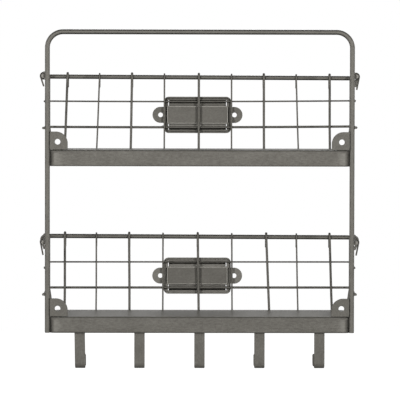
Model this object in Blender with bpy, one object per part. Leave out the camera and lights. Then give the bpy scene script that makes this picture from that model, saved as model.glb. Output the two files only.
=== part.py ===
"""Wall organizer: a bent rod frame that carries two basket shelves and a row of hooks.

The wall is the plane y = 0, +Y points from the wall into the room and +Z is up.
The origin is the middle of the upper shelf's back lip, on the wall.
Left and right are as the wall sees them, with -X on the left.
"""

import math

import bmesh
import bpy
from mathutils import Vector

# Gap left along every weld and seat, so that neighbours touch without sharing space
SEAM = 0.0003

# Roundness: the sides of a bar, and the steps in which a bend or corner turns
ROD_SIDES = 12
WIRE_SIDES = 8
ROD_BEND_STEPS = 8
WIRE_BEND_STEPS = 4
WRAP_STEPS = 7
CORNER_STEPS = 5
FOLD_STEPS = 3
EAR_STEPS = 14
HOLE_SIDES = 20
BEAD_SIDES = 6
SMOOTH_BELOW = math.radians(40)

# Frame: one rod bent into an upside-down U
FRAME_ROD = 0.0060
LEG_SPACING = 0.3652
FRAME_RISE = 0.0527
FRAME_BEND = 0.0190

# Shelves: shallow pans of sheet metal with their lips turned down
SHELF_PITCH = 0.2000
SHELF_DEPTH = 0.1020
SHELF_LIP = 0.0195
SHELF_SHEET = 0.0012
SHELF_CORNER = 0.0070
SHELF_FOLD = 0.0022

# Screw ears: flat tabs in the corners between the legs and the shelves
EAR_SHEET = 0.0018
EAR_WIDTH = 0.0214
EAR_HEIGHT = 0.0216
EAR_CORNER = 0.0140
SCREW_HOLE = 0.0068
SCREW_INSET = 0.0124
SCREW_RISE = 0.0097

# Rim rods: the top edge of each basket, which overhangs the shelf and widens towards the front
RIM_ROD = 0.0055
RIM_RISE = 0.0886
RIM_REACH = 0.0125
RIM_OVERHANG_BACK = 0.0049
RIM_OVERHANG_FRONT = 0.0074
RIM_BEND = 0.0090

# Basket wires: upright wires hooked over the rim, and long wires bent round all three sides
THICK_WIRE = 0.0030
THIN_WIRE = 0.0020
FRONT_MARGIN = 0.0190
SIDE_FIRST = 0.0180
SIDE_LAST = 0.0040
WIRE_FOOT = 0.0040
FRONT_TAIL = 0.0125
FRONT_LEAN = 11.0
LOW_WIRE_RISE = 0.0267
HIGH_WIRE_RISE = 0.0586
LONG_WIRE_BEND = 0.0065
LONG_WIRE_END = 0.0008
LONG_WIRE_CRANK = 0.0130

# Hand-bent wires: how far each front wire's head and foot stray from an even pitch, left to right
UPPER_HEADS = (-0.0005, -0.0018, -0.0025, -0.0032, -0.0014, -0.0017, -0.0026, -0.0033, -0.0027)
UPPER_FEET = (-0.0037, -0.0050, -0.0038, -0.0032, -0.0014, -0.0017, -0.0024, -0.0007, -0.0025)
LOWER_HEADS = (-0.0037, -0.0056, -0.0058, -0.0047, -0.0024, -0.0010, 0.0009, -0.0025, -0.0021)
LOWER_FEET = (-0.0037, -0.0056, -0.0051, -0.0047, -0.0011, -0.0006, 0.0046, -0.0007, 0.0006)

# Tails of the side wires, from the wall to the front: length, and lean in degrees
SIDE_TAILS = (0.0155, 0.0110, 0.0090)
SIDE_LEANS = (11.0, 20.0, 26.0)
UPPER_LEFT_TAILS = (0.0120, 0.0090, 0.0090)
UPPER_LEFT_LEANS = (18.0, 30.0, 30.0)

# Hand-bent rims: how far the left and right front corners stand above the height at the legs
UPPER_CORNERS = (-0.0001, -0.0014)
LOWER_CORNERS = (0.0020, 0.0007)

# Hand-laid long wires: how far their right end stands above the middle, and their left end below it
UPPER_SLANT = 0.0006
LOWER_SLANT = 0.0002

# Label holders: a pressed frame with two fixing ears, closed behind by a plate; the side and end
# values are the borders left between the frame's edge and the window, panel, slots and notches
LABEL_CENTRE = -0.0030
LABEL_RISE = 0.0146
LABEL_SHEET = 0.0008
LABEL_WIDTH = 0.0835
LABEL_HEIGHT = 0.0452
LABEL_CORNER = 0.0060
LABEL_FLANGE = 0.0014
LABEL_SLOPE = 0.0012
LABEL_CROWN = 0.0020
LABEL_WINDOW_SIDE = 0.00875
LABEL_WINDOW_END = 0.0126
LABEL_EAR_HEIGHT = 0.0200
LABEL_EAR_HOLE = 0.0058
LABEL_HOLE_REACH = 0.00415
LABEL_EAR_STEP = 0.0003
PLATE_PANEL_SIDE = 0.00375
PLATE_PANEL_END = 0.0114
PLATE_SLOT_SIDE = 0.00545
PLATE_SLOT_HEIGHT = 0.0072
PLATE_SLOT_RELIEF = 0.0008
PLATE_NOTCH_END = 0.0131
PLATE_BEAD = 0.0011

# Hooks: flat strips welded inside the lower shelf's back lip
HOOK_MARGIN = 0.0386
HOOK_WIDTH = 0.0125
HOOK_SHEET = 0.0020
HOOK_DROP = 0.0430
HOOK_WELD = 0.0140
HOOK_REACH = 0.0320
HOOK_RISE = 0.0145
HOOK_BEND = 0.0060
HOOK_CORNER = 0.0016

# Hand-bent hooks: how far each one's shank leans and its arm turns sideways, left to right
HOOK_LEANS = (0.0010, 0.0, 0.0, 0.0, 0.0)
HOOK_TURNS = (-0.0024, -0.0014, 0.0, 0.0, 0.0)

# Places that follow from the sizes above
LEG_X = LEG_SPACING / 2
LEG_Y = FRAME_ROD / 2
SCREW_X = LEG_X - SCREW_INSET
CORNER_TO_LEG = math.sqrt((SHELF_CORNER + FRAME_ROD / 2 + SEAM) ** 2 - (SHELF_CORNER - LEG_Y) ** 2)
SHELF_HALF = LEG_X - CORNER_TO_LEG + SHELF_CORNER
EAR_SIDE = LEG_X - math.sqrt((FRAME_ROD / 2) ** 2 - (LEG_Y - EAR_SHEET) ** 2) - SEAM
SHELF_TOP = SHELF_LIP / 2
SHELF_BOTTOM = -SHELF_LIP / 2
RIM_Z = SHELF_TOP + RIM_RISE
RIM_Y = SHELF_DEPTH + RIM_REACH
RIM_START = FRAME_ROD + SEAM
FRAME_TOP = RIM_Z + FRAME_RISE
FRAME_FOOT = SHELF_BOTTOM - SHELF_PITCH
WINDOW_WIDTH = LABEL_WIDTH - 2 * LABEL_WINDOW_SIDE
WINDOW_HEIGHT = LABEL_HEIGHT - 2 * LABEL_WINDOW_END
PANEL_WIDTH = LABEL_WIDTH - 2 * PLATE_PANEL_SIDE
PANEL_HEIGHT = LABEL_HEIGHT - 2 * PLATE_PANEL_END
SLOT_LENGTH = LABEL_WIDTH - 2 * PLATE_SLOT_SIDE

# Colours of the painted steel, as linear values
PAINT_DARK = (0.150, 0.143, 0.128, 1.0)
PAINT_MID = (0.175, 0.167, 0.150, 1.0)
PAINT_LIGHT = (0.205, 0.198, 0.182, 1.0)


def clear_scene():
    """Remove whatever objects the open file holds."""
    for item in list(bpy.data.objects):
        bpy.data.objects.remove(item, do_unlink=True)


def paint(piece, colour, roughness):
    """Give a piece its own satin metallic paint."""
    coat = bpy.data.materials.new(piece.name + "_paint")
    coat.use_nodes = True
    shader = coat.node_tree.nodes["Principled BSDF"]
    shader.inputs["Base Color"].default_value = colour
    shader.inputs["Metallic"].default_value = 0.6
    shader.inputs["Roughness"].default_value = roughness
    piece.data.materials.append(coat)
    return piece


def place(name, data, carrier, spot=(0.0, 0.0, 0.0)):
    """Put a mesh or curve in the scene under its carrier."""
    piece = bpy.data.objects.new(name, data)
    bpy.context.scene.collection.objects.link(piece)
    piece.parent = carrier
    piece.location = spot
    return piece


def make_tool(piece):
    """Turn an object into a hidden tool that shapes other pieces."""
    piece.hide_render = True
    piece.display_type = "WIRE"
    return piece


def combine(piece, tool, operation):
    """Cut a tool from a piece, or join it on."""
    step = piece.modifiers.new(operation.lower(), "BOOLEAN")
    step.operation = operation
    step.solver = "EXACT"
    step.object = make_tool(tool)


def arc_angles(start, end, steps):
    """Angles from start to end in degrees, both included, as radians."""
    return [math.radians(start + (end - start) * step / steps) for step in range(steps + 1)]


def rounded_path(corners, radii, steps):
    """Straight runs between the corners, with every inner corner turned into a tangent arc."""
    path = [corners[0]]
    for before, corner, after, radius in zip(corners, corners[1:], corners[2:], radii):
        arriving = (corner - before).normalized()
        leaving = (after - corner).normalized()
        turn = arriving.angle(leaving)
        reach = radius * math.tan(turn / 2)
        centre = corner + (leaving - arriving).normalized() * radius / math.cos(turn / 2)
        first = (corner - arriving * reach - centre).normalized()
        last = (corner + leaving * reach - centre).normalized()
        for step in range(steps + 1):
            path.append(centre + first.slerp(last, step / steps) * radius)
    path.append(corners[-1])
    return path


def bent_rod(name, path, diameter, sides, carrier):
    """Round bar along a path, with flat ends."""
    curve = bpy.data.curves.new(name, "CURVE")
    curve.dimensions = "3D"
    curve.bevel_depth = diameter / 2
    curve.bevel_resolution = sides // 2 - 2
    curve.use_fill_caps = True
    spline = curve.splines.new("POLY")
    spline.points.add(len(path) - 1)
    for point, spot in zip(spline.points, path):
        point.co = (spot.x, spot.y, spot.z, 1.0)
    return place(name, curve, carrier)


def rounded_rectangle(width, height, radius):
    """Corner-rounded outline round the origin, anticlockwise from the right-hand side."""
    outline = []
    for quarter, (side, end) in enumerate(((1, 1), (-1, 1), (-1, -1), (1, -1))):
        x = side * (width / 2 - radius)
        z = end * (height / 2 - radius)
        for angle in arc_angles(90 * quarter, 90 * quarter + 90, CORNER_STEPS):
            outline.append((x + radius * math.cos(angle), z + radius * math.sin(angle)))
    return outline


def circle(centre_x, centre_z, diameter):
    """Round hole outline."""
    angles = [math.tau * step / HOLE_SIDES for step in range(HOLE_SIDES)]
    return [(centre_x + diameter / 2 * math.cos(a), centre_z + diameter / 2 * math.sin(a)) for a in angles]


def skin(name, loops, closed):
    """Closed solid through a row of loops, capped at both ends or joined end to end into a ring."""
    shape = bmesh.new()
    rows = [[shape.verts.new(spot) for spot in loop] for loop in loops]
    pairs = list(zip(rows, rows[1:]))
    if closed:
        pairs.append((rows[-1], rows[0]))
    else:
        shape.faces.new(rows[0])
        shape.faces.new(rows[-1])
    for one, other in pairs:
        for index in range(len(one)):
            after = (index + 1) % len(one)
            shape.faces.new((one[index], one[after], other[after], other[index]))
    bmesh.ops.recalc_face_normals(shape, faces=shape.faces)
    mesh = bpy.data.meshes.new(name)
    shape.to_mesh(mesh)
    shape.free()
    mesh.shade_smooth()
    mesh.set_sharp_from_angle(angle=SMOOTH_BELOW)
    return mesh


def flat_sheet(name, outline, holes, thickness):
    """Sheet in the XZ plane cut to an outline, pierced by holes, from y = 0 to its thickness."""
    shape = bmesh.new()
    edges = []
    for loop in [outline, *holes]:
        corners = [shape.verts.new((x, 0.0, z)) for x, z in loop]
        edges += [shape.edges.new(pair) for pair in zip(corners, corners[1:] + corners[:1])]
    bmesh.ops.triangle_fill(shape, use_beauty=True, use_dissolve=False, edges=edges)
    rims = [edge for edge in shape.edges if edge.is_boundary]
    grown = bmesh.ops.duplicate(shape, geom=shape.verts[:] + shape.edges[:] + shape.faces[:])
    copies = grown["vert_map"]
    bmesh.ops.translate(
        shape,
        verts=[item for item in grown["geom"] if isinstance(item, bmesh.types.BMVert)],
        vec=(0.0, thickness, 0.0),
    )
    for edge in rims:
        first, second = edge.verts
        shape.faces.new((first, second, copies[second], copies[first]))
    bmesh.ops.recalc_face_normals(shape, faces=shape.faces)
    mesh = bpy.data.meshes.new(name)
    shape.to_mesh(mesh)
    shape.free()
    mesh.shade_smooth()
    mesh.set_sharp_from_angle(angle=SMOOTH_BELOW)
    return mesh


def frame_hoop():
    """The rod frame: two legs down to the lower shelf's edge, joined over the top."""
    corners = [
        Vector((-LEG_X, LEG_Y, FRAME_FOOT)),
        Vector((-LEG_X, LEG_Y, FRAME_TOP)),
        Vector((LEG_X, LEG_Y, FRAME_TOP)),
        Vector((LEG_X, LEG_Y, FRAME_FOOT)),
    ]
    path = rounded_path(corners, (FRAME_BEND, FRAME_BEND), ROD_BEND_STEPS)
    return paint(bent_rod("frame_hoop", path, FRAME_ROD, ROD_SIDES, None), PAINT_MID, 0.42)


def shelf_mesh():
    """Pan with a flat top, a small fold all round and its lip turned down."""
    def loop(inset, z):
        outline = rounded_rectangle(
            2 * (SHELF_HALF - inset), SHELF_DEPTH - 2 * inset, SHELF_CORNER - inset
        )
        return [(x, y + SHELF_DEPTH / 2, z) for x, y in outline]

    def fold(radius):
        return [
            loop(SHELF_FOLD - radius * math.cos(a), SHELF_TOP - SHELF_FOLD + radius * math.sin(a))
            for a in arc_angles(0, 90, FOLD_STEPS)
        ]

    inside = fold(SHELF_FOLD - SHELF_SHEET)
    lips = [loop(SHELF_SHEET, SHELF_BOTTOM), loop(0.0, SHELF_BOTTOM)]
    outside = fold(SHELF_FOLD)
    return skin("shelf", inside[::-1] + lips + outside, False)


def screw_ear_mesh(side):
    """Tab with one rounded corner and a screw hole, standing on the shelf against the leg."""
    near = EAR_SIDE
    far = near - EAR_WIDTH
    bottom = SHELF_TOP + SEAM
    top = bottom + EAR_HEIGHT
    corner_x = far + EAR_CORNER
    corner_z = top - EAR_CORNER
    outline = [(near, bottom), (near, top)]
    for angle in arc_angles(90, 180, ROD_BEND_STEPS):
        outline.append((corner_x + EAR_CORNER * math.cos(angle), corner_z + EAR_CORNER * math.sin(angle)))
    outline.append((far, bottom))
    hole = circle(SCREW_X, SHELF_TOP + SCREW_RISE, SCREW_HOLE)
    outline = [(side * x, z) for x, z in outline]
    hole = [(side * x, z) for x, z in hole]
    return flat_sheet("screw_ear", outline, [hole], EAR_SHEET)


def rim_half(y):
    """Half width of the rim's centreline at a distance from the wall."""
    share = (y - RIM_START) / (RIM_Y - RIM_START)
    overhang = RIM_OVERHANG_BACK + share * (RIM_OVERHANG_FRONT - RIM_OVERHANG_BACK)
    return LEG_X + overhang


def rim_spot(corners, x, y):
    """Point of the rim's centreline over a place in plan, between the heights of the front corners."""
    forward = (y - RIM_START) / (RIM_Y - RIM_START)
    across = 0.5 + x / (2 * rim_half(y))
    left, right = corners
    return Vector((x, y, RIM_Z + forward * (left + across * (right - left))))


def rim_rod(prefix, corners, carrier):
    """Top edge of a basket, bent round the front and ending against the legs."""
    turns = [
        rim_spot(corners, -rim_half(RIM_START), RIM_START),
        rim_spot(corners, -rim_half(RIM_Y), RIM_Y),
        rim_spot(corners, rim_half(RIM_Y), RIM_Y),
        rim_spot(corners, rim_half(RIM_START), RIM_START),
    ]
    path = rounded_path(turns, (RIM_BEND, RIM_BEND), ROD_BEND_STEPS)
    return paint(bent_rod(prefix + "_rim_rod", path, RIM_ROD, ROD_SIDES, carrier), PAINT_MID, 0.42)


def upright_wire(name, diameter, over, foot_spot, outward, tail, lean, carrier):
    """Wire that rises from the lip, passes inside the rim and is hooked over it with a short tail."""
    up = Vector((0.0, 0.0, 1.0))
    radius = diameter / 2
    wrap = RIM_ROD / 2 + SEAM + radius
    along = up.cross(outward)
    inside = over - outward * wrap
    against = foot_spot + outward * (SEAM + radius)
    foot = Vector((against.x, against.y, SHELF_BOTTOM + WIRE_FOOT))
    lip = Vector((against.x, against.y, SHELF_TOP - SHELF_FOLD))
    share = LOW_WIRE_RISE / RIM_RISE
    drift = (over - foot_spot).dot(along)
    knee = inside - along * drift * (1 - share)
    knee.z = SHELF_TOP + LOW_WIRE_RISE
    path = [foot, lip, knee]
    for angle in arc_angles(180, -lean, WRAP_STEPS):
        path.append(over + (outward * math.cos(angle) + up * math.sin(angle)) * wrap)
    back = math.radians(lean)
    path.append(path[-1] - (outward * math.sin(back) + up * math.cos(back)) * tail)
    return paint(bent_rod(name, path, diameter, WIRE_SIDES, carrier), PAINT_DARK, 0.45)


def front_wires(prefix, heads, feet, corners, carrier):
    """Upright wires across the front of a basket, thick and thin in turn."""
    first = FRONT_MARGIN - LEG_X
    pitch = -2 * first / (len(heads) - 1)
    for index, (head, foot) in enumerate(zip(heads, feet)):
        even = first + index * pitch
        upright_wire(
            f"{prefix}_front_wire_{index + 1}",
            THIN_WIRE if index % 2 else THICK_WIRE,
            rim_spot(corners, even + head, RIM_Y),
            Vector((even + foot, SHELF_DEPTH, 0.0)),
            Vector((0.0, 1.0, 0.0)),
            FRONT_TAIL,
            FRONT_LEAN,
            carrier,
        )


def side_wires(prefix, side, tails, leans, corners, carrier):
    """Upright wires on one side of a basket, numbered from the wall."""
    pitch = (SHELF_DEPTH - SIDE_LAST - SIDE_FIRST) / (len(tails) - 1)
    for index, (tail, lean) in enumerate(zip(tails, leans)):
        y = SIDE_FIRST + index * pitch
        upright_wire(
            f"{prefix}_wire_{index + 1}",
            THICK_WIRE if index % 2 else THIN_WIRE,
            rim_spot(corners, side * rim_half(y), y),
            Vector((side * SHELF_HALF, y, 0.0)),
            Vector((side, 0.0, 0.0)),
            tail,
            lean,
            carrier,
        )


def long_wire(name, rise, diameter, cranked, slant, carrier):
    """Long wire outside the upright ones: its ends pass outside the legs or stop in front of them."""
    radius = diameter / 2
    front_y = RIM_Y - RIM_ROD / 2 + radius
    inward = radius - RIM_ROD / 2
    clear = FRAME_ROD / 2 + SEAM
    if cranked:
        past_leg = LEG_X + clear + radius
        turn_in = rim_half(LONG_WIRE_CRANK) + inward
        end = [(past_leg, LONG_WIRE_END), (past_leg, RIM_START), (turn_in, LONG_WIRE_CRANK)]
        radii = [LONG_WIRE_BEND / 2, LONG_WIRE_BEND / 2, LONG_WIRE_BEND]
    else:
        beside = rim_half(RIM_START) + inward
        aside = min(max(beside - radius - LEG_X, 0.0), clear)
        end = [(beside, LEG_Y + math.sqrt(clear ** 2 - aside ** 2))]
        radii = [LONG_WIRE_BEND]
    right = [*end, (rim_half(front_y) + inward, front_y)]
    plan = [(-x, y) for x, y in right] + right[::-1]
    turns = [Vector((x, y, SHELF_TOP + rise + slant * x / LEG_X)) for x, y in plan]
    path = rounded_path(turns, radii + radii[::-1], WIRE_BEND_STEPS)
    return paint(bent_rod(name, path, diameter, WIRE_SIDES, carrier), PAINT_DARK, 0.45)


def label_loop(width, height, radius, y):
    """Loop of the label frame at a distance from its back face."""
    return [(x, y, z) for x, z in rounded_rectangle(width, height, radius)]


def label_frame(prefix, carrier, spot):
    """Pressed frame: a flat flange, a raised border and a window, with an ear at each end."""
    def inset_loop(inset, y):
        return label_loop(LABEL_WIDTH - 2 * inset, LABEL_HEIGHT - 2 * inset, LABEL_CORNER - inset, y)

    def window_loop(margin, y):
        radius = LABEL_SHEET + margin
        return label_loop(WINDOW_WIDTH + 2 * margin, WINDOW_HEIGHT + 2 * margin, radius, y)

    wall = LABEL_FLANGE + LABEL_SLOPE
    card = 2 * LABEL_SHEET
    crown = card + LABEL_CROWN
    back = [
        inset_loop(0.0, 0.0),
        inset_loop(LABEL_FLANGE, 0.0),
        inset_loop(wall, card),
        inset_loop(wall + LABEL_SLOPE, crown - LABEL_SHEET),
        window_loop(LABEL_CROWN, crown - LABEL_SHEET),
        window_loop(0.0, card),
    ]
    front = [
        window_loop(0.0, card + LABEL_SHEET),
        window_loop(LABEL_CROWN - LABEL_SHEET / 2, crown),
        inset_loop(wall + LABEL_SLOPE - LABEL_SHEET / 2, crown),
        inset_loop(wall - LABEL_SHEET, card + LABEL_SHEET / 2),
        inset_loop(LABEL_FLANGE - LABEL_SHEET / 2, LABEL_SHEET),
        inset_loop(0.0, LABEL_SHEET),
    ]
    frame = place(prefix + "_label_frame", skin("label_frame", back + front, True), carrier, spot)

    for side in (-1, 1):
        ear = place(f"{prefix}_label_ear_tool", label_ear_mesh(side), carrier, spot)
        ear.location.y += LABEL_EAR_STEP
        combine(frame, ear, "UNION")
        for end in (-1, 1):
            relief = place(f"{prefix}_label_relief_tool", relief_mesh(side, end), carrier, spot)
            combine(frame, relief, "DIFFERENCE")
    return paint(frame, PAINT_MID, 0.40)


def label_ear_mesh(side):
    """Half-round ear with its hole, reaching back into the frame's flange."""
    root = LABEL_WIDTH / 2 - LABEL_FLANGE / 2
    middle = LABEL_WIDTH / 2 + LABEL_HOLE_REACH
    radius = LABEL_EAR_HEIGHT / 2
    outline = [(root, -radius)]
    for angle in arc_angles(-90, 90, EAR_STEPS):
        outline.append((middle + radius * math.cos(angle), radius * math.sin(angle)))
    outline.append((root, radius))
    hole = circle(middle, 0.0, LABEL_EAR_HOLE)
    outline = [(side * x, z) for x, z in outline]
    hole = [(side * x, z) for x, z in hole]
    return flat_sheet("label_ear", outline, [hole], LABEL_SHEET)


def relief_mesh(side, end):
    """Block that opens the border behind one end of a card slot."""
    outer = SLOT_LENGTH / 2
    inner = outer - PLATE_SLOT_RELIEF
    low = PANEL_HEIGHT / 2
    high = low + PLATE_SLOT_HEIGHT
    outline = [(inner, low), (outer, low), (outer, high), (inner, high)]
    outline = [(side * x, end * z) for x, z in outline]
    deep = LABEL_CROWN + 4 * LABEL_SHEET
    return flat_sheet("label_relief", outline, [], deep)


def label_plate(prefix, carrier, spot):
    """Back plate held inside the flange: a beaded panel between two long card slots."""
    room = LABEL_FLANGE + LABEL_SLOPE / 2 + SEAM
    width = LABEL_WIDTH - 2 * room
    height = LABEL_HEIGHT - 2 * room
    notch_x = PANEL_WIDTH / 2
    notch_z = LABEL_HEIGHT / 2 - PLATE_NOTCH_END
    outline = rounded_rectangle(width, height, LABEL_CORNER - room)
    half = len(outline) // 2
    right = [(width / 2, -notch_z), (notch_x, -notch_z), (notch_x, notch_z), (width / 2, notch_z)]
    left = [(-x, -z) for x, z in right]
    outline = outline[:half] + left + outline[half:] + right

    slots = []
    for end in (-1, 1):
        middle = end * (PANEL_HEIGHT + PLATE_SLOT_HEIGHT) / 2
        slot = rounded_rectangle(SLOT_LENGTH, PLATE_SLOT_HEIGHT, LABEL_SHEET)
        slots.append([(x, z + middle) for x, z in slot])
    mesh = flat_sheet("label_plate", outline, slots, LABEL_SHEET)
    plate = place(prefix + "_label_plate", mesh, carrier, spot)

    bead = place(f"{prefix}_label_bead_tool", bead_mesh(), carrier, spot)
    combine(plate, bead, "UNION")
    return paint(plate, PAINT_MID, 0.38)


def bead_mesh():
    """Ridge pressed round the panel, half sunk into the plate's back."""
    middle = LABEL_SHEET / 4
    radius = PLATE_BEAD / 2
    loops = []
    for step in range(BEAD_SIDES):
        angle = math.tau * step / BEAD_SIDES
        inset = radius * (1 - math.cos(angle))
        width = PANEL_WIDTH - radius - 2 * inset
        height = PANEL_HEIGHT - radius - 2 * inset
        loops.append(label_loop(width, height, 2 * PLATE_BEAD - inset, middle + radius * math.sin(angle)))
    return skin("label_bead", loops, True)


def hook_mesh(lean, turn):
    """Strip bent into a J, with its tip's corners rounded."""
    half = HOOK_SHEET / 2
    y = SHELF_SHEET + SEAM + half
    top = SHELF_BOTTOM + HOOK_WELD
    bottom = SHELF_BOTTOM - HOOK_DROP + half
    tip = bottom - half + HOOK_RISE
    corners = [
        Vector((0.0, y, top)),
        Vector((0.0, y, bottom)),
        Vector((0.0, y + HOOK_REACH, bottom)),
        Vector((0.0, y + HOOK_REACH, tip)),
    ]
    path = rounded_path(corners, (HOOK_BEND, HOOK_BEND), ROD_BEND_STEPS)
    path.pop()
    widths = [HOOK_WIDTH / 2] * len(path)
    for angle in arc_angles(0, 90, FOLD_STEPS):
        path.append(Vector((0.0, y + HOOK_REACH, tip - HOOK_CORNER * (1 - math.sin(angle)))))
        widths.append(HOOK_WIDTH / 2 - HOOK_CORNER * (1 - math.cos(angle)))

    loops = []
    drop = top - bottom
    for index, (spot, width) in enumerate(zip(path, widths)):
        before = path[max(index - 1, 0)]
        after = path[min(index + 1, len(path) - 1)]
        run = (after - before).normalized()
        across = Vector((0.0, run.z, -run.y)) * half
        sway = lean * min((top - spot.z) / drop, 1.0) + turn * (spot.y - y) / HOOK_REACH
        left = spot + Vector((sway - width, 0.0, 0.0))
        right = spot + Vector((sway + width, 0.0, 0.0))
        loops.append((left - across, right - across, right + across, left + across))
    return skin("hook", loops, False)


def hooks(carrier):
    """Row of hooks along the lower shelf, numbered from the left."""
    first = HOOK_MARGIN - LEG_X
    pitch = -2 * first / (len(HOOK_LEANS) - 1)
    for index, (lean, turn) in enumerate(zip(HOOK_LEANS, HOOK_TURNS)):
        x = first + index * pitch
        hook = place(f"hook_{index + 1}", hook_mesh(lean, turn), carrier, (x, 0.0, 0.0))
        paint(hook, PAINT_DARK, 0.42)


def basket_shelf(prefix, level, heads, feet, corners, slant, left_tails, left_leans):
    """One shelf with its screw ears, basket and label holder."""
    carrier = bpy.data.objects.new(prefix + "_unit", None)
    bpy.context.scene.collection.objects.link(carrier)
    carrier.location.z = level

    paint(place(prefix + "_shelf", shelf_mesh(), carrier), PAINT_LIGHT, 0.35)
    for label, side in (("left", -1), ("right", 1)):
        ear = place(f"{prefix}_{label}_screw_ear", screw_ear_mesh(side), carrier)
        paint(ear, PAINT_MID, 0.45)
    rim_rod(prefix, corners, carrier)
    front_wires(prefix, heads, feet, corners, carrier)
    side_wires(prefix + "_left", -1, left_tails, left_leans, corners, carrier)
    side_wires(prefix + "_right", 1, SIDE_TAILS, SIDE_LEANS, corners, carrier)
    long_wire(prefix + "_low_long_wire", LOW_WIRE_RISE, THICK_WIRE, True, slant, carrier)
    long_wire(prefix + "_high_long_wire", HIGH_WIRE_RISE, THIN_WIRE, False, slant, carrier)

    outermost = RIM_Y - RIM_ROD / 2 + THICK_WIRE
    spot = (LABEL_CENTRE, outermost + SEAM, SHELF_TOP + LOW_WIRE_RISE + LABEL_RISE)
    label_frame(prefix, carrier, spot)
    label_plate(prefix, carrier, spot)
    return carrier


def build():
    """The whole organizer."""
    clear_scene()
    frame_hoop()
    basket_shelf(
        "upper", 0.0, UPPER_HEADS, UPPER_FEET, UPPER_CORNERS, UPPER_SLANT, UPPER_LEFT_TAILS, UPPER_LEFT_LEANS
    )
    lower = basket_shelf(
        "lower", -SHELF_PITCH, LOWER_HEADS, LOWER_FEET, LOWER_CORNERS, LOWER_SLANT, SIDE_TAILS, SIDE_LEANS
    )
    hooks(lower)
    bpy.context.view_layer.update()


build()
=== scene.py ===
"""Looks of the wall organizer: finely formed, painted pieces that stand for the CAD frame's nodes.

The wall is the plane y = 0, +Y points from the wall into the room and +Z is up.
The camera stands on the wall's side and looks along +Y, so it sees the organizer's back.
"""

import math
from collections import namedtuple

import bmesh
import bpy
from bpy.props import FloatProperty, FloatVectorProperty, IntProperty, PointerProperty
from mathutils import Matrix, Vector, noise


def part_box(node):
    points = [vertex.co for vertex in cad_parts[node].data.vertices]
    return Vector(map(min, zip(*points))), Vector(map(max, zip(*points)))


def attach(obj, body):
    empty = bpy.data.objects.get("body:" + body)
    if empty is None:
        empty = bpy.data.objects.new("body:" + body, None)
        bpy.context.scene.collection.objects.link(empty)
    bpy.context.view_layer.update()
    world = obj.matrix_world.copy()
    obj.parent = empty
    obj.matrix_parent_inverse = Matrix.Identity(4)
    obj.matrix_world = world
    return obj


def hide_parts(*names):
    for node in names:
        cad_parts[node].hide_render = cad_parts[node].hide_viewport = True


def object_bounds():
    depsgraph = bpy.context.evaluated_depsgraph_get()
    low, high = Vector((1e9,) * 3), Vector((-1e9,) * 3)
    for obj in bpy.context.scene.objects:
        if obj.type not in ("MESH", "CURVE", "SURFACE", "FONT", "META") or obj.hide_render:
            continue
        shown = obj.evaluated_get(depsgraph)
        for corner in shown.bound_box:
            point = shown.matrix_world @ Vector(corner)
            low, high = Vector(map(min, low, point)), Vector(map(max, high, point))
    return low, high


bl_info = {
    "name": "Wall Organizer",
    "version": (1, 0, 0),
    "blender": (4, 5, 0),
    "location": "3D View > Sidebar > Organizer",
    "description": "Forms and paints the pieces of a wall organizer with two basket shelves",
    "category": "Object",
}

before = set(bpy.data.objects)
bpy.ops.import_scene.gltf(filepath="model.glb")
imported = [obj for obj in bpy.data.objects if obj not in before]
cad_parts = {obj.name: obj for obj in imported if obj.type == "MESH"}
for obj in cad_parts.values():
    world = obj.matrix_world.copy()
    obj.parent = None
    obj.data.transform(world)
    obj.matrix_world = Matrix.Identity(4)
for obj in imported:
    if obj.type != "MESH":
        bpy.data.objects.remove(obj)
CAD_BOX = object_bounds()

BASKETS = ("upper", "lower")
SIDES = (("left", -1), ("right", 1))
FRONT_WIRES = range(1, 10)
SIDE_WIRES = range(1, 4)
HOOKS = range(1, 6)
SMOOTH_BELOW = math.radians(38)
UP = Vector((0.0, 0.0, 1.0))
OUT = Vector((0.0, 1.0, 0.0))

# Reading CAD points: how near to each other those at one end of a bar, wire or hook lie, how high the
# foot of a hook's shank reaches, and what is only rounding
BAR_END = 0.0006
WIRE_END = 0.0008
HOOK_END = 0.0005
HOOK_FOOT = 0.012
ROUNDING = 1e-5

# Steps in which bends, corners, edges, beads and long runs are made
HOOP_STEPS = 24
RIM_STEPS = 20
WRAP_STEPS = 16
HOOK_STEPS = 16
LONG_WIRE_STEPS = 10
FOOT_STEPS = 5
PAN_CORNER_STEPS = 12
EAR_STEPS = 20
LABEL_EAR_STEPS = 28
FOLD_STEPS = 8
CORNER_STEPS = 8
SLOT_STEPS = 5
STRIP_STEPS = 4
END_STEPS = 3
EDGE_STEPS = 2
BEAD_SIDES = 14
RUN_PARTS = 24

# Roundings and margins of the label holders, pans and hooks
LABEL_SOFT = 0.0003
LABEL_EDGE = 0.00015
SLOT_EDGE = 0.00005
CROWN_MARGIN = 0.0030
PAN_MARGIN = 0.002
HOOK_WAIST = 0.0010

# Painted light laid on the shapes: above 0 painted shade, below 0 painted highlight. A rim's cut ends and a
# panel's bead get painted highlights, the lower half of each label window's rim and the whole lower label
# holder a painted lightening; a lip's bottom edge and a hook's edges get painted shade, and a hook more of
# it towards its tip from a share of its reach on.
ROD_END_HIGHLIGHT = -0.7
BEAD_HIGHLIGHT = -1.0
CROWN_LIGHTENING = -0.45
LABEL_LIGHTENING = {"upper": 0.0, "lower": -0.30}
LIP_EDGE_SHADE = 0.7
LIP_END_HIGHLIGHT = -0.36
HOOK_TIP_SHADE = 0.6
HOOK_TIP_FROM = 0.8
HOOK_TIP_RISE = 6
HOOK_EDGE_SHADE = 0.8

# Back lip's painted light, by the distance from its end: painted shade beside the leg, then a painted
# highlight, then plain.
# The stations are where the lip's straight run gets points for it.
LEG_SHADE = 0.0046
HIGHLIGHT_FULL = 0.0020
HIGHLIGHT_FROM = 0.0070
HIGHLIGHT_LENGTH = 0.0120
LIP_STATIONS = (0.0010, 0.0040, 0.0080, 0.0130, 0.0200)

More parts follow.
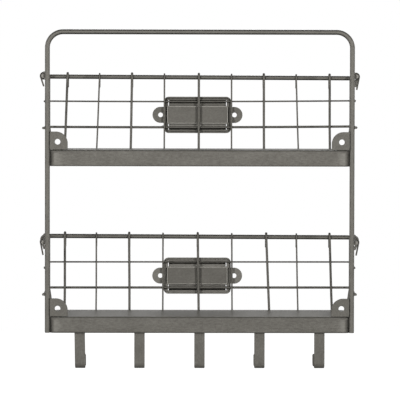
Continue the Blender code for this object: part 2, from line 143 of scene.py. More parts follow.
# Weld beads: how far they spread past a wire, their places and their half sizes. At a wire these are
# the depth and the height, and elsewhere the width, the depth and the height.
WELD_SPREAD = 0.0005
FOOT_SPREAD = 0.0003
CROSSING_DEPTH = 0.0009
FOOT_WELD = (0.0008, 0.0022)
FOOT_WELD_OUT = 0.0004
FOOT_WELD_RISE = 0.0025
FOOT_WELD_DROP = 0.0045
WRAP_WELD = (0.0009, 0.0016)
RIM_WELD = (0.0028, 0.0014, 0.0028)
CORNER_WELD = (0.0015, 0.0013, 0.0030)
CORNER_WELD_INSET = 0.0035
EAR_FOOT_WELD = (0.0060, 0.0009, 0.0008)
EAR_SIDE_WELD = (0.0008, 0.0009, 0.0055)
LABEL_WELD = (0.0024, 0.0007, 0.0014)
LABEL_WELD_INSET = 0.0135
LABEL_WELD_OUT = 0.0001

# Unevenness of the beads: share and pitch of each noise, and how far a seed moves it along each axis
WELD_SWELLS = ((0.30, 1.3), (0.10, 4.0))
WELD_STRIDES = (7.31, 1.73, 3.19)
WELD_SEEDS = {"upper": 2, "lower": 102}
LABEL_SEED = 211

# Stage: the far lamps have an azimuth and an elevation in degrees, and a share of the fill's strength
FLOOR_HALF = 9.0
KEY_LAMPS = ((-0.70, -1.2, 0.40), (0.70, -1.2, 0.40))
TOP_LAMP = (0.0, -0.35, 1.0)
TOP_LAMP_SIZE = 3
FILL_LAMPS = ((140, 8, 0.5), (220, 8, 0.5), (180, 33, 1.0))
CAMERA_X = 0.00036
SENSOR_WIDTH = 36.0
SIGHT = 100.0
WHITE = (1.0, 1.0, 1.0, 1.0)


# Settings


def number(name, default, description, **kind):
    """Property for one number, or for a row of them."""
    kind.update(name=name, description=description, default=default)
    if isinstance(default, tuple):
        return FloatVectorProperty(size=len(default), **kind)
    return FloatProperty(**kind)


def length(name, default, description):
    """Property for a length in metres, or for a row of lengths."""
    return number(name, default, description, min=0.0, precision=5, unit="LENGTH")


def angle(name, default, description):
    """Property for an angle in radians, or for a row of angles."""
    return number(name, default, description, unit="ROTATION")


def share(name, default, description, top=1.0):
    """Property for a plain number from 0 up."""
    return number(name, default, description, min=0.0, max=top)


def colour(name, default, description):
    """Property for a linear colour."""
    return number(name, default, description, min=0.0, max=1.0, subtype="COLOR")


def degrees(*values):
    """Angles in degrees as radians."""
    return tuple(math.radians(value) for value in values)


class RodSizes(bpy.types.PropertyGroup):
    """Bars and wires."""

    frame_rod: length("Frame rod", 0.0060, "Diameter of the hoop's rod")
    frame_bend: length("Frame bend", 0.0190, "Centreline radius of the hoop's two bends")
    rim_rod: length("Rim rod", 0.0055, "Diameter of each basket's top edge")
    rim_bend: length("Rim bend", 0.0090, "Centreline radius of the rim's front corners")
    rim_back: length("Rim at the back", 0.0049, "How far the rim stands outside the legs at the wall")
    rim_front: length("Rim at the front", 0.0074, "How far the rim stands outside the legs in front")
    thick_wire: length("Thick wire", 0.0030, "Diameter of the thick basket wires")
    thin_wire: length("Thin wire", 0.0020, "Diameter of the thin basket wires")
    low_rise: length("Low wire", 0.0267, "Height of the upright wires' bend over the shelf")
    wire_bend: length("Long wire bend", 0.0065, "Radius of the long wires' front corners")
    sag: length("Sag", 0.0007, "How far the upper basket's long wires sag in front")
    crank: length("Crank", 0.0130, "Distance from the wall where a long wire has cleared the leg")
    wire_foot: length("Wire foot", 0.0040, "Height of an upright wire's end over the lip's edge")
    foot_bend: length("Foot bend", 0.0060, "Radius where an upright wire leaves the lip")
    front_tail: length("Front tail", 0.0125, "Straight end of a front wire below its hook")
    front_lean: angle("Front lean", math.radians(11), "How far a front tail leans in under the rim")
    side_tails: length("Side tails", (0.0155, 0.0110, 0.0090), "Side wires' ends, from the wall to the front")
    side_leans: angle("Side leans", degrees(11, 20, 26), "How far the side wires' tails lean in")
    odd_tails: length("Upper left tails", (0.0120, 0.0025, 0.0025), "Side wires' ends on the upper left")
    odd_leans: angle("Upper left leans", degrees(18, 26, 26), "How far the upper left tails lean in")
    seam: length("Seam", 0.0003, "Gap that a weld bridges")
    wrap_gap: length("Wrap gap", 0.0002, "Gap between a rim and the wires hooked over it")
    cut: length("Cut end", 0.0004, "Rounding of a bar's cut end")
    rod_sides: IntProperty(name="Rod sides", description="Faces round a rod", default=28, min=8)
    wire_sides: IntProperty(name="Wire sides", description="Faces round a wire", default=18, min=6)


class SheetSizes(bpy.types.PropertyGroup):
    """Shelves and screw ears."""

    sheet: length("Shelf sheet", 0.0012, "Thickness of a shelf's sheet")
    corner: length("Shelf corner", 0.0070, "Radius of a shelf's corners")
    fold: length("Fold", 0.0022, "Outer radius of the fold round a shelf's top")
    ear_sheet: length("Ear sheet", 0.0018, "Thickness of a screw ear")
    ear_corner: length("Ear corner", 0.0140, "Radius of a screw ear's free corner")
    screw_hole: length("Screw hole", 0.0068, "Diameter of a screw hole")
    screw_inset: length("Screw inset", 0.0124, "Distance of a screw hole from the leg's middle")
    screw_rise: length("Screw rise", 0.0097, "Height of a screw hole over the shelf")
    edge: length("Cut edge", 0.00022, "Rounding of the sheet's cut edges under the paint")


class LabelSizes(bpy.types.PropertyGroup):
    """Label holders."""

    sheet: length("Sheet", 0.0008, "Thickness of the holder's sheet")
    width: length("Width", 0.0835, "Width of the pressed frame")
    height: length("Height", 0.0452, "Height of the pressed frame")
    corner: length("Corner", 0.0060, "Radius of the pressed frame's corners")
    flange: length("Flange", 0.0014, "Flat border round the pressed frame")
    slope: length("Slope", 0.0012, "Width of the wall that rises from the flange")
    crown: length("Crown", 0.0020, "Height of the raised border over the card")
    window_side: length("Window side", 0.00875, "Border at the window's ends")
    window_end: length("Window edge", 0.0126, "Border over and under the window")
    ear_height: length("Ear height", 0.0200, "Height of the half-round ears")
    ear_hole: length("Ear hole", 0.0058, "Diameter of an ear's hole")
    hole_reach: length("Hole reach", 0.00415, "Distance of an ear's hole from the frame")
    ear_step: length("Ear step", 0.0003, "Step between an ear and the flange")
    panel_side: length("Panel side", 0.00375, "Border at the panel's ends")
    panel_end: length("Panel edge", 0.0114, "Border over and under the panel")
    slot_side: length("Slot side", 0.00545, "Border at the card slots' ends")
    slot_height: length("Slot height", 0.0072, "Height of a card slot")
    slot_relief: length("Slot relief", 0.0008, "Length of the opening behind a slot's end")
    notch_end: length("Notch edge", 0.0131, "Border over and under the side notches")
    bead: length("Bead", 0.0011, "Width of the ridge round the panel")


class HookSizes(bpy.types.PropertyGroup):
    """Coat hooks under the lower shelf."""

    width: length("Width", 0.0125, "Width of the strip")
    sheet: length("Thickness", 0.0020, "Thickness of the strip")
    reach: length("Reach", 0.0320, "Depth of a hook")
    rise: length("Rise", 0.0145, "Height of a hook's tip")
    bend: length("Bend", 0.0060, "Radius of a hook's bends")
    corner: length("Corner", 0.0016, "Radius of the tip's corners")
    edge: length("Edge", 0.0004, "Rounding of the strip's long edges")
    turns: number(
        "Turns",
        (-0.0006, -0.0008, 0.0, -0.0003, -0.0007),
        "How far each hand-bent hook's tip stands to the right of its shank",
        precision=5,
        unit="LENGTH",
    )


class PaintLooks(bpy.types.PropertyGroup):
    """Satin paint."""

    dark: colour("Dark", (0.128, 0.121, 0.107), "Darkest of the mottled paint")
    light: colour("Light", (0.214, 0.205, 0.183), "Lightest of the mottled paint")
    # Colour of the painted shade in folds, along cut edges, in hollows and on faces turned up or down
    shade_paint: colour("Crease", (0.045, 0.043, 0.038), "Paint in folds and along cut edges")
    # Colour of the painted highlights
    highlight_paint: colour("Worn", (0.380, 0.366, 0.332), "Paint on rubbed ridges")
    gloss: share("Gloss", 0.03, "Strength of the paint's sheen")
    cloud_size: length("Cloud size", 0.0120, "Size of the broad blotches")
    mottle_size: length("Mottle size", 0.0018, "Size of the fine mottling")
    flake_size: length("Flake size", 0.0005, "Size of the flakes")
    bump: share("Bump", 0.35, "Strength of the paint's texture")
    bump_depth: length("Bump depth", 0.00012, "Depth of the paint's texture")
    # The hollows' darkening is painted shade, from ambient occlusion
    occlusion_shade_reach: length("Hollow size", 0.0050, "How far a hollow darkens the paint around it")
    occlusion_shade: share("Hollow", 1.2, "How much hollows darken the paint", 2.0)


class StudioLooks(bpy.types.PropertyGroup):
    """Floor, lamps, surroundings and camera."""

    floor_drop: length("Floor drop", 1.0, "Height of the organizer's middle over the floor")
    floor_colour: colour("Floor", (0.62, 0.62, 0.61), "Colour of the floor")
    floor_glow: share("Floor glow", 0.96, "What brings the floor up to white for the camera", 4.0)
    ambient: share("Ambient", 0.07, "Strength of the light from all round", 4.0)
    key: share("Key", 10.8, "Watts of each lamp on the wall's side", 100.0)
    top: share("Top", 0.4, "Watts of the lamp overhead", 100.0)
    fill: share("Fill", 0.60, "Strength of each lamp on the room's side", 10.0)
    key_size: length("Key size", 0.16, "Width of each lamp on the wall's side")
    fill_size: angle("Fill size", math.radians(16), "Size of the lamps on the room's side")
    distance: length("Camera distance", 3.030, "From the camera to the wall")
    height: length("Camera height", 0.0747, "Height of the camera over the upper shelf")
    lens: number("Lens", 227.8, "Focal length in millimetres", unit="CAMERA")
    tilt: angle("Tilt", 0.0275, "How far the camera looks down")
    turn: angle("Turn", 0.012, "How far the camera looks to the right")
    roll: angle("Roll", 0.0023, "How far the picture leans")
    shift: number("Shift", (-0.0766, -0.0861), "How far the picture lies off the lens's middle, by its width")


# Mesh making


def arc(start, end, steps):
    """Angles from start to end in degrees, both included, as radians."""
    return [math.radians(start + (end - start) * step / steps) for step in range(steps + 1)]


def polar(turn, radius=1.0):
    """Point in a plane at an angle and a distance from its origin."""
    return Vector((math.cos(turn), math.sin(turn))) * radius


def mirrored(outline, side):
    """Outline as it is on one side: -1 turns it over to the left."""
    return [Vector((side * spot.x, spot.y)) for spot in outline]


def bent_path(corners, radii, steps):
    """Straight runs between the corners, with each inner corner turned into a tangent arc."""
    path = [corners[0]]
    for before, corner, after, radius in zip(corners, corners[1:], corners[2:], radii):
        arriving = (corner - before).normalized()
        leaving = (after - corner).normalized()
        turn = arriving.angle(leaving)
        reach = radius * math.tan(turn / 2)
        centre = corner + (leaving - arriving).normalized() * radius / math.cos(turn / 2)
        first = (corner - arriving * reach - centre).normalized()
        last = (corner + leaving * reach - centre).normalized()
        path += [centre + first.slerp(last, step / steps) * radius for step in range(steps + 1)]
    path.append(corners[-1])
    return path


def join_rows(shape, rows, closed=False):
    """Faces between neighbouring rows of vertices, with flat ends or closed into a ring."""
    pairs = list(zip(rows, rows[1:]))
    if closed:
        pairs.append((rows[-1], rows[0]))
    else:
        shape.faces.new(rows[0])
        shape.faces.new(rows[-1])
    for one, other in pairs:
        wrap_rows(shape, one, other)


def wrap_rows(shape, one, other):
    """Smooth faces between two rows."""
    for index in range(len(one)):
        after = (index + 1) % len(one)
        shape.faces.new((one[index], one[after], other[after], other[index])).smooth = True


def rounded_end(tip, inward, radius, cut):
    """Stations that round off a bar's cut end, from the tip inwards."""
    turns = arc(0, 90, END_STEPS)
    return [(tip + inward * cut * (1 - math.cos(a)), radius - cut * (1 - math.sin(a))) for a in turns]


def add_bar(shape, path, diameter, sides, cut, highlight_paint=None):
    """Round bar along a path; a layer given for it gets a painted highlight on the cut ends."""
    radius = diameter / 2
    first = rounded_end(path[0], (path[1] - path[0]).normalized(), radius, cut)
    last = rounded_end(path[-1], (path[-2] - path[-1]).normalized(), radius, cut)
    stations = first + [(spot, radius) for spot in path[1:-1]] + last[::-1]
    spots = [spot for spot, _ in stations]
    runs = [(after - before).normalized() for before, after in zip(spots, spots[2:])]
    runs = [runs[0], *runs, runs[-1]]
    side = runs[0].orthogonal().normalized()
    turns = [math.tau * step / sides for step in range(sides)]
    rows = []
    for index, (spot, reach) in enumerate(stations):
        if index:
            side.rotate(runs[index - 1].rotation_difference(runs[index]))
        across = runs[index].cross(side)
        ring = [spot + (side * math.cos(a) + across * math.sin(a)) * reach for a in turns]
        rows.append([shape.verts.new(point) for point in ring])
    # Painted highlight on the cut ends
    if highlight_paint is not None:
        for row in rows[:END_STEPS] + rows[-END_STEPS:]:
            for vert in row:
                vert[highlight_paint] = ROD_END_HIGHLIGHT
    join_rows(shape, rows)


def rounded_rectangle(width, height, radius, steps=CORNER_STEPS):
    """Corner-rounded outline round the origin, anticlockwise."""
    outline = []
    for quarter, (side, end) in enumerate(((1, 1), (-1, 1), (-1, -1), (1, -1))):
        middle = Vector((side * (width / 2 - radius), end * (height / 2 - radius)))
        outline += [middle + polar(a, radius) for a in arc(90 * quarter, 90 * quarter + 90, steps)]
    return outline


def round_hole(middle, diameter, sides=32):
    """Hole outline, clockwise."""
    return [Vector(middle) + polar(-math.tau * step / sides, diameter / 2) for step in range(sides)]


def turned(outline, anticlockwise):
    """Outline that runs the wanted way round."""
    area = sum(a.x * b.y - b.x * a.y for a, b in zip(outline, outline[1:] + outline[:1]))
    return outline if (area > 0) == anticlockwise else outline[::-1]


def drawn_in(outline, distance):
    """Outline moved to its left, into the sheet, with corners mitred to twice the distance at most."""
    moved = []
    for before, here, after in zip(outline[-1:] + outline[:-1], outline, outline[1:] + outline[:1]):
        arriving = (here - before).normalized()
        leaving = (after - here).normalized()
        left = Vector((-arriving.y, arriving.x))
        mitre = (left + Vector((-leaving.y, leaving.x))).normalized()
        moved.append(here + mitre * distance / max(mitre.dot(left), 0.5))
    return moved


def add_sheet(shape, outline, holes, thickness, edge, shade=None):
    """Sheet in the XZ plane from y = 0 to its thickness, with rounded edges that get painted shade where a
    layer for it is given.
    """
    profile = [(edge * (1 - math.sin(a)), edge * (1 - math.cos(a))) for a in arc(0, 90, EDGE_STEPS)]
    profile += [(inset, thickness - y) for inset, y in profile[::-1]]
    faces = ([], [])
    for loop in [turned(outline, True)] + [turned(hole, False) for hole in holes]:
        rows = []
        for inset, y in profile:
            rows.append([shape.verts.new((spot.x, y, spot.y)) for spot in drawn_in(loop, inset)])
        for one, other in zip(rows, rows[1:]):
            wrap_rows(shape, one, other)
        for face, row in zip(faces, (rows[0], rows[-1])):
            face += [shape.edges.get(pair) for pair in zip(row, row[1:] + row[:1])]
        # Painted shade on the rounded cut edges
        if shade is not None:
            for vert in sum(rows[1:-1], []):
                vert[shade] = 1.0
    for face in faces:
        bmesh.ops.triangle_fill(shape, use_beauty=True, use_dissolve=False, edges=face)


def add_bead(shape, spot, reach, seed):
    """Weld bead: a lump with uneven sides."""
    made = bmesh.ops.create_icosphere(shape, subdivisions=3, radius=1.0)
    shift = Vector([seed * stride for stride in WELD_STRIDES])
    for vert in made["verts"]:
        swell = 1.0
        for part, pitch in WELD_SWELLS:
            swell += part * noise.noise(vert.co * pitch + shift)
        vert.co = spot + Vector(a * b for a, b in zip(vert.co, reach)) * swell
        for face in vert.link_faces:
            face.smooth = True


def new_shape():
    """Empty shape with a layer for painted light: above 0 painted shade, below 0 painted highlight."""
    shape = bmesh.new()
    return shape, shape.verts.layers.float.new("shade_paint")


def mesh_from(shape, name):
    """Mesh of a finished shape, smooth but for its sharp edges."""
    bmesh.ops.recalc_face_normals(shape, faces=shape.faces)
    mesh = bpy.data.meshes.new(name)
    shape.to_mesh(mesh)
    shape.free()
    mesh.set_sharp_from_angle(angle=SMOOTH_BELOW)
    return mesh


def add_object(name, mesh):
    """Object in the scene, at the frame's origin."""
    piece = bpy.data.objects.new(name, mesh)
    bpy.context.scene.collection.objects.link(piece)
    return piece


def carve(piece, shape, operation):
    """Cut a shape from a piece or join it on, and keep the result as the piece's mesh."""
    tool = add_object("tool", mesh_from(shape, "tool"))
    step = piece.modifiers.new(operation.lower(), "BOOLEAN")
    step.operation = operation
    step.solver = "EXACT"
    step.object = tool
    keep_result(piece)
    piece.data.set_sharp_from_angle(angle=SMOOTH_BELOW)
    bpy.data.objects.remove(tool, do_unlink=True)


def keep_result(piece):
    """Keep what a piece's modifiers make of it as its mesh."""
    graph = bpy.context.evaluated_depsgraph_get()
    mesh = bpy.data.meshes.new_from_object(piece.evaluated_get(graph))
    piece.modifiers.clear()
    piece.data = mesh


def even_shading(piece):
    """Let the large faces set the normals, so that only the roundings between them bend the light."""
    step = piece.modifiers.new("normals", "WEIGHTED_NORMAL")
    step.mode = "FACE_AREA"
    step.weight = 100
    step.keep_sharp = True
    keep_result(piece)


def finish_piece(piece, slot, *nodes):
    """Paint a piece, let it ride on the frame, and let it stand for its CAD nodes."""
    even_shading(piece)
    piece.data.materials.clear()
    piece.data.materials.append(satin_paint(slot))
    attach(piece, "root")
    if nodes:
        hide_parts(*nodes)


def stand_in(shape, node):
    """Object with a shape that is to stand for a CAD node."""
    return add_object(node + "_painted", mesh_from(shape, node))


# Paint


class Socket:
    """A node's output, on which Python's arithmetic adds Math nodes."""

    def __init__(self, output):
        self.output = output

    @classmethod
    def node(cls, tree, kind, settings=None, inputs=None, output=0):
        """Add a node: its settings first, then the values or links of its sockets."""
        made = tree.nodes.new(kind)
        for name, value in (settings or {}).items():
            setattr(made, name, value)
        for name, value in (inputs or {}).items():
            if isinstance(value, cls):
                tree.links.new(value.output, made.inputs[name])
            else:
                made.inputs[name].default_value = value
        return cls(made.outputs[output])

    def math(self, operation, first, second, clamp=False):
        settings = {"operation": operation, "use_clamp": clamp}
        return self.node(self.output.id_data, "ShaderNodeMath", settings, {0: first, 1: second})

    def __add__(self, other):
        return self.math("ADD", self, other)

    def __radd__(self, other):
        return self.math("ADD", other, self)

    def __sub__(self, other):
        return self.math("SUBTRACT", self, other)

    def __rsub__(self, other):
        return self.math("SUBTRACT", other, self)

    def __mul__(self, other):
        return self.math("MULTIPLY", self, other)

    def __rmul__(self, other):
        return self.math("MULTIPLY", other, self)

    def __or__(self, other):
        return self.math("MAXIMUM", self, other)

    def clamped(self):
        return self.math("ADD", self, 0.0, clamp=True)

    def feeds(self, target):
        self.output.id_data.links.new(self.output, target)


# Colour sockets of a Mix node
MIX_FIRST = 6
MIX_SECOND = 7
MIX_RESULT = 2

# Each finish: how light, how rough and how blotchy it is, how much painted shade it gets where it faces
# up or down, its share of the paint's gloss, and how its mottling is scaled along each axis
Finish = namedtuple("Finish", "tone roughness mottle grime sheen grain")
FINISHES = {
    "rod_paint": Finish(0.72, 0.27, 1.0, 2.6, 1.0, (1.0, 1.0, 1.0)),
    "wire_paint": Finish(0.36, 0.28, 0.8, 1.6, 1.0, (1.0, 1.0, 1.0)),
    "shelf_paint": Finish(0.50, 0.36, 1.4, 0.15, 0.3, (0.35, 1.0, 1.0)),
    "label_paint": Finish(0.52, 0.40, 0.9, 0.0, 1.0, (0.6, 1.0, 1.0)),
    "strip_paint": Finish(0.44, 0.44, 1.1, 0.3, 1.0, (1.0, 1.0, 0.7)),
}


def satin_paint(slot):
    """Mottled satin paint with fine flakes, with painted shade in creases, hollows and on faces turned up or
    down, and painted highlights.
    """
    known = bpy.data.materials.get("satin_" + slot)
    if known:
        return known
    looks = bpy.context.scene.organizer_paint
    finish = FINISHES[slot]
    material = bpy.data.materials.new("satin_" + slot)
    material.use_nodes = True
    tree = material.node_tree
    shader = tree.nodes["Principled BSDF"]

    spot = Socket.node(tree, "ShaderNodeTexCoord", output="Object")
    drawn = {"operation": "MULTIPLY"}
    spot = Socket.node(tree, "ShaderNodeVectorMath", drawn, {0: spot, 1: finish.grain})

    def cloud(size, detail):
        """Blotches of a size, from -0.5 to 0.5."""
        values = {"Vector": spot, "Scale": 1 / size, "Detail": detail, "Roughness": 0.55}
        return Socket.node(tree, "ShaderNodeTexNoise", None, values) - 0.5

    def blend(factor, first, second):
        """Mix of two colours, each a socket or a plain colour."""
        first, second = (one if isinstance(one, Socket) else (*one, 1.0) for one in (first, second))
        values = {"Factor": factor.clamped(), MIX_FIRST: first, MIX_SECOND: second}
        return Socket.node(tree, "ShaderNodeMix", {"data_type": "RGBA"}, values, MIX_RESULT)

    broad = cloud(looks.cloud_size, 2.0)
    fine = cloud(looks.mottle_size, 3.0)
    flakes = cloud(looks.flake_size, 1.0)
    # Layer of painted shade and painted highlight laid on the shape
    shade_paint = Socket.node(tree, "ShaderNodeAttribute", {"attribute_name": "shade_paint"}, output="Fac")
    # Painted shade in hollows and between parts, from ambient occlusion
    near = {"Distance": looks.occlusion_shade_reach}
    occlusion_shade = 1.0 - Socket.node(tree, "ShaderNodeAmbientOcclusion", {"samples": 8}, near, "AO")
    facing = Socket.node(tree, "ShaderNodeNewGeometry", output="Normal")
    rise = Socket.node(tree, "ShaderNodeSeparateXYZ", None, {0: facing}, "Z")

    tone = finish.tone + (broad * 0.7 + fine * 1.3 + flakes * 1.1) * finish.mottle
    ground = blend(tone, looks.dark, looks.light)
    # Painted shade on faces turned up or down
    grime = rise * rise * finish.grime
    # Painted shade from the layer, the hollows and the facing mixes towards the shade colour
    ground = blend(shade_paint * (0.75 + fine) | occlusion_shade * looks.occlusion_shade | grime, ground, looks.shade_paint)
    # Painted highlights where the layer is below 0
    highlighted = blend(shade_paint * -1.0 + fine * 0.4, ground, looks.highlight_paint)
    blend(shade_paint * -4.0, ground, highlighted).feeds(shader.inputs["Base Color"])

    roughness = finish.roughness + fine * 0.25 + broad * 0.12 + (shade_paint | 0.0) * 0.15
    roughness.clamped().feeds(shader.inputs["Roughness"])
    height = fine * 0.6 + flakes * 0.5
    relief = {"Strength": looks.bump, "Distance": looks.bump_depth, "Height": height}
    Socket.node(tree, "ShaderNodeBump", None, relief).feeds(shader.inputs["Normal"])
    shader.inputs["Specular IOR Level"].default_value = looks.gloss * finish.sheen
    return material


# Places


def hoop_middle():
    """Leg's distance from the middle, hoop's top and hoop's foot, all on the rod's centreline."""
    low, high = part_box("frame_hoop")
    radius = bpy.context.scene.organizer_rods.frame_rod / 2
    return high[0] - radius, high[2] - radius, low[2]


def shelf_places(basket):
    """Half width, depth, underside and top of a shelf."""
    low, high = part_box(basket + "_shelf")
    return high[0], high[1], low[2], high[2]


def label_spot(basket):
    """Middle of a label holder, on its side to the wall."""
    low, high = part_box(basket + "_label_frame")
    return Vector(((low[0] + high[0]) / 2, low[1], (low[2] + high[2]) / 2))


def node_points(node):
    """Points of a CAD node."""
    return [vert.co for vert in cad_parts[node].data.vertices]


def middle_of(points):
    return sum(points, Vector()) / len(points)


def front_run(node):
    """Ends of the straight front run of a bar that is bent round a basket, on its centreline."""
    ends = []
    for _, side in SIDES:
        points = [point for point in node_points(node) if point.x * side > 0]
        inner = min(abs(point.x) for point in points)
        ends.append(middle_of([point for point in points if abs(point.x) < inner + BAR_END]))
    return ends


def rim_places(basket):
    """Where a rim's centreline starts, how far it reaches, and its height at the legs."""
    low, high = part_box(basket + "_rim_rod")
    ends = [point for point in node_points(basket + "_rim_rod") if point.y < low[1] + BAR_END]
    return low[1], high[1] - bpy.context.scene.organizer_rods.rim_rod / 2, middle_of(ends).z


def rim_half(basket, y):
    """Half width of a rim's centreline at a distance from the wall."""
    rods = bpy.context.scene.organizer_rods
    start, reach, _ = rim_places(basket)
    along = (y - start) / (reach - start)
    return hoop_middle()[0] + rods.rim_back + along * (rods.rim_front - rods.rim_back)


def rim_over(basket, x, y):
    """Point of a rim's centreline over a place in plan."""
    start, reach, height = rim_places(basket)
    left, right = front_run(basket + "_rim_rod")
    front = left.z + (x - left.x) * (right.z - left.z) / (right.x - left.x)
    forward = (y - start) / (reach - start)
    return Vector((x, y, height + forward * (front - height)))


def wire_ends(node):
    """Middle of a wire's top and middle of its foot, from its CAD node's own points."""
    points = node_points(node)
    heights = [point.z for point in points]
    ends = []
    for wanted in (max(heights), min(heights)):
        ends.append(middle_of([point for point in points if abs(point.z - wanted) < WIRE_END]))
    return ends


def front_wires(basket):
    """Node, rim spot, foot spot, way out and diameter of each front wire."""
    rods = bpy.context.scene.organizer_rods
    for index in FRONT_WIRES:
        node = f"{basket}_front_wire_{index}"
        head, foot = wire_ends(node)
        rim_spot = rim_over(basket, head.x, rim_places(basket)[1])
        diameter = rods.thick_wire if index % 2 else rods.thin_wire
        yield node, rim_spot, Vector((foot.x, shelf_places(basket)[1], 0.0)), OUT, diameter


def side_wires(basket, label, side):
    """Node, rim spot, foot spot, way out and diameter of each wire at one end, from the wall on."""
    rods = bpy.context.scene.organizer_rods
    for index in SIDE_WIRES:
        node = f"{basket}_{label}_wire_{index}"
        y = wire_ends(node)[0].y
        rim_spot = rim_over(basket, side * rim_half(basket, y), y)
        foot_spot = Vector((side * shelf_places(basket)[0], y, 0.0))
        diameter = rods.thin_wire if index % 2 else rods.thick_wire
        yield node, rim_spot, foot_spot, Vector((side, 0.0, 0.0)), diameter


def long_height(basket, label):
    """Height of a long wire as a function of x: its CAD slant, and in the upper basket a sag."""
    left, right = front_run(f"{basket}_{label}_long_wire")
    slant = (right.z - left.z) / (right.x - left.x)
    sag = bpy.context.scene.organizer_rods.sag if basket == "upper" else 0.0

    def height(x):
        inner = min(abs(x / right.x), 1.0)
        return left.z + slant * (x - left.x) - sag * (1 - inner**2)

    return height


# Rods and wires


def bar_piece(node, path, diameter, slot, highlighted_ends=False):
    """Bar that stands for one CAD node."""
    rods = bpy.context.scene.organizer_rods
    sides = rods.rod_sides if slot == "rod_paint" else rods.wire_sides
    shape, shade = new_shape()
    add_bar(shape, path, diameter, sides, rods.cut, shade if highlighted_ends else None)
    finish_piece(stand_in(shape, node), slot, node)


def upright_piece(basket, wire, tail, lean):
    """Wire from the lip up inside the rim, hooked over it with a short tail."""
    node, rim_spot, foot_spot, outward, diameter = wire
    rods = bpy.context.scene.organizer_rods
    radius = diameter / 2
    wrap = rods.rim_rod / 2 + rods.wrap_gap + radius
    _, _, underside, top = shelf_places(basket)
    against = foot_spot + outward * (rods.seam + radius)
    foot = Vector((against.x, against.y, underside + rods.wire_foot))
    lip = Vector((against.x, against.y, top - bpy.context.scene.organizer_sheets.fold))
    inside = rim_spot - outward * wrap
    risen = rods.low_rise / (rim_spot.z - top)
    along = UP.cross(outward)
    knee = inside - along * (rim_spot - foot_spot).dot(along) * (1 - risen)
    knee.z = top + rods.low_rise
    turns = arc(180, -math.degrees(lean), WRAP_STEPS)
    over = [rim_spot + (outward * math.cos(a) + UP * math.sin(a)) * wrap for a in turns]
    down = outward * math.sin(lean) + UP * math.cos(lean)
    bends = (rods.foot_bend, 4 * rods.foot_bend)
    path = bent_path([foot, lip, knee, over[0]], bends, FOOT_STEPS) + over[1:]
    path.append(path[-1] - down * tail)
    bar_piece(node, path, diameter, "wire_paint")


def long_path(basket, label, diameter):
    """Path of a long wire round three sides of a basket: past the legs, or ending in front of them."""
    rods = bpy.context.scene.organizer_rods
    start, reach, _ = rim_places(basket)
    radius = diameter / 2
    front = reach - rods.rim_rod / 2 + radius
    inward = radius - rods.rim_rod / 2
    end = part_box(f"{basket}_{label}_long_wire")[0][1]
    bend = rods.wire_bend
    if label == "low":
        past_leg = hoop_middle()[0] + rods.frame_rod / 2 + rods.seam + radius
        plan = [(past_leg, end), (past_leg, start), (rim_half(basket, rods.crank) + inward, rods.crank)]
        radii = [bend / 2, bend / 2, bend]
    else:
        plan = [(rim_half(basket, start) + inward, end)]
        radii = [bend]
    plan.append((rim_half(basket, front) + inward, front))
    height = long_height(basket, label)
    corners = [Vector((x, y, height(x))) for x, y in [(-x, y) for x, y in plan] + plan[::-1]]
    path = bent_path(corners, radii + radii[::-1], LONG_WIRE_STEPS)
    across = [spot for spot in path if spot.y > front - ROUNDING]
    first, last = path.index(across[0]), path.index(across[-1])
    run = [path[first].lerp(path[last], part / RUN_PARTS) for part in range(RUN_PARTS + 1)]
    for spot in run:
        spot.z = height(spot.x)
    return path[:first] + run + path[last + 1 :]


# Sheet pieces


def lip_end_light(reach):
    """Painted light of a back lip at a distance from its end: painted shade beside the leg, then a painted
    highlight.
    """
    if reach < LEG_SHADE:
        return min(1.0, 2 * (1 - reach / LEG_SHADE))
    rising = min((reach - LEG_SHADE) / HIGHLIGHT_FULL, 1.0)
    return LIP_END_HIGHLIGHT * rising * max(0.0, 1 - (reach - HIGHLIGHT_FROM) / HIGHLIGHT_LENGTH)


def pan_piece(basket):
    """Shelf: a flat pan with a small fold all round and its lip turned down."""
    sizes = bpy.context.scene.organizer_sheets
    half, depth, underside, top = shelf_places(basket)
    shape, shade = new_shape()
    wall_run = 3 * (PAN_CORNER_STEPS + 1)

    def row(inset, z, dark, back=0.0):
        size = (2 * (half - inset), depth - 2 * inset, sizes.corner - inset)
        outline = rounded_rectangle(*size, PAN_CORNER_STEPS)
        straight = half - sizes.corner
        wall_side = [Vector((-straight + x, outline[wall_run].y)) for x in LIP_STATIONS]
        wall_side += mirrored(wall_side[::-1], -1)
        outline = outline[:wall_run] + wall_side + outline[wall_run:]
        made = [shape.verts.new((spot.x, spot.y + depth / 2, z)) for spot in outline]
        for vert in made:
            vert[shade] = dark
            # Painted shade beside the legs and a painted highlight further on, on the back lip
            if back and vert.co.y < sizes.corner:
                vert[shade] = max(dark, back * lip_end_light(half - abs(vert.co.x)), key=abs)
        return made

    def fold(radius):
        bend = top - sizes.fold
        # Painted dark reflection along the middle of the fold
        return [
            row(sizes.fold - radius * math.cos(a), bend + radius * math.sin(a), math.sin(2 * a) ** 2)
            for a in arc(0, 90, FOLD_STEPS)
        ]

    edge = sizes.edge
    # Painted shade along the lip's bottom edge
    lip = [
        row(sizes.sheet, top - 2 * sizes.fold, 0.0),
        row(sizes.sheet, underside + 4 * edge, 0.0),
        row(sizes.sheet, underside + edge, LIP_EDGE_SHADE),
        row(sizes.sheet - edge, underside, 1.0),
        row(edge, underside, 1.0),
        row(0.0, underside + edge, 1.0, 1.0),
        row(0.0, underside + 8 * edge, 0.0, 1.0),
        row(0.0, top - 2 * sizes.fold, 0.0, 1.0),
    ]
    inside = fold(sizes.fold - sizes.sheet)
    inner_middle = row(sizes.fold + PAN_MARGIN, top - sizes.sheet, 0.0)
    outer_middle = row(sizes.fold + PAN_MARGIN, top, 0.0)
    join_rows(shape, [inner_middle] + inside[::-1] + lip + fold(sizes.fold) + [outer_middle])
    node = basket + "_shelf"
    finish_piece(stand_in(shape, node), "shelf_paint", node)


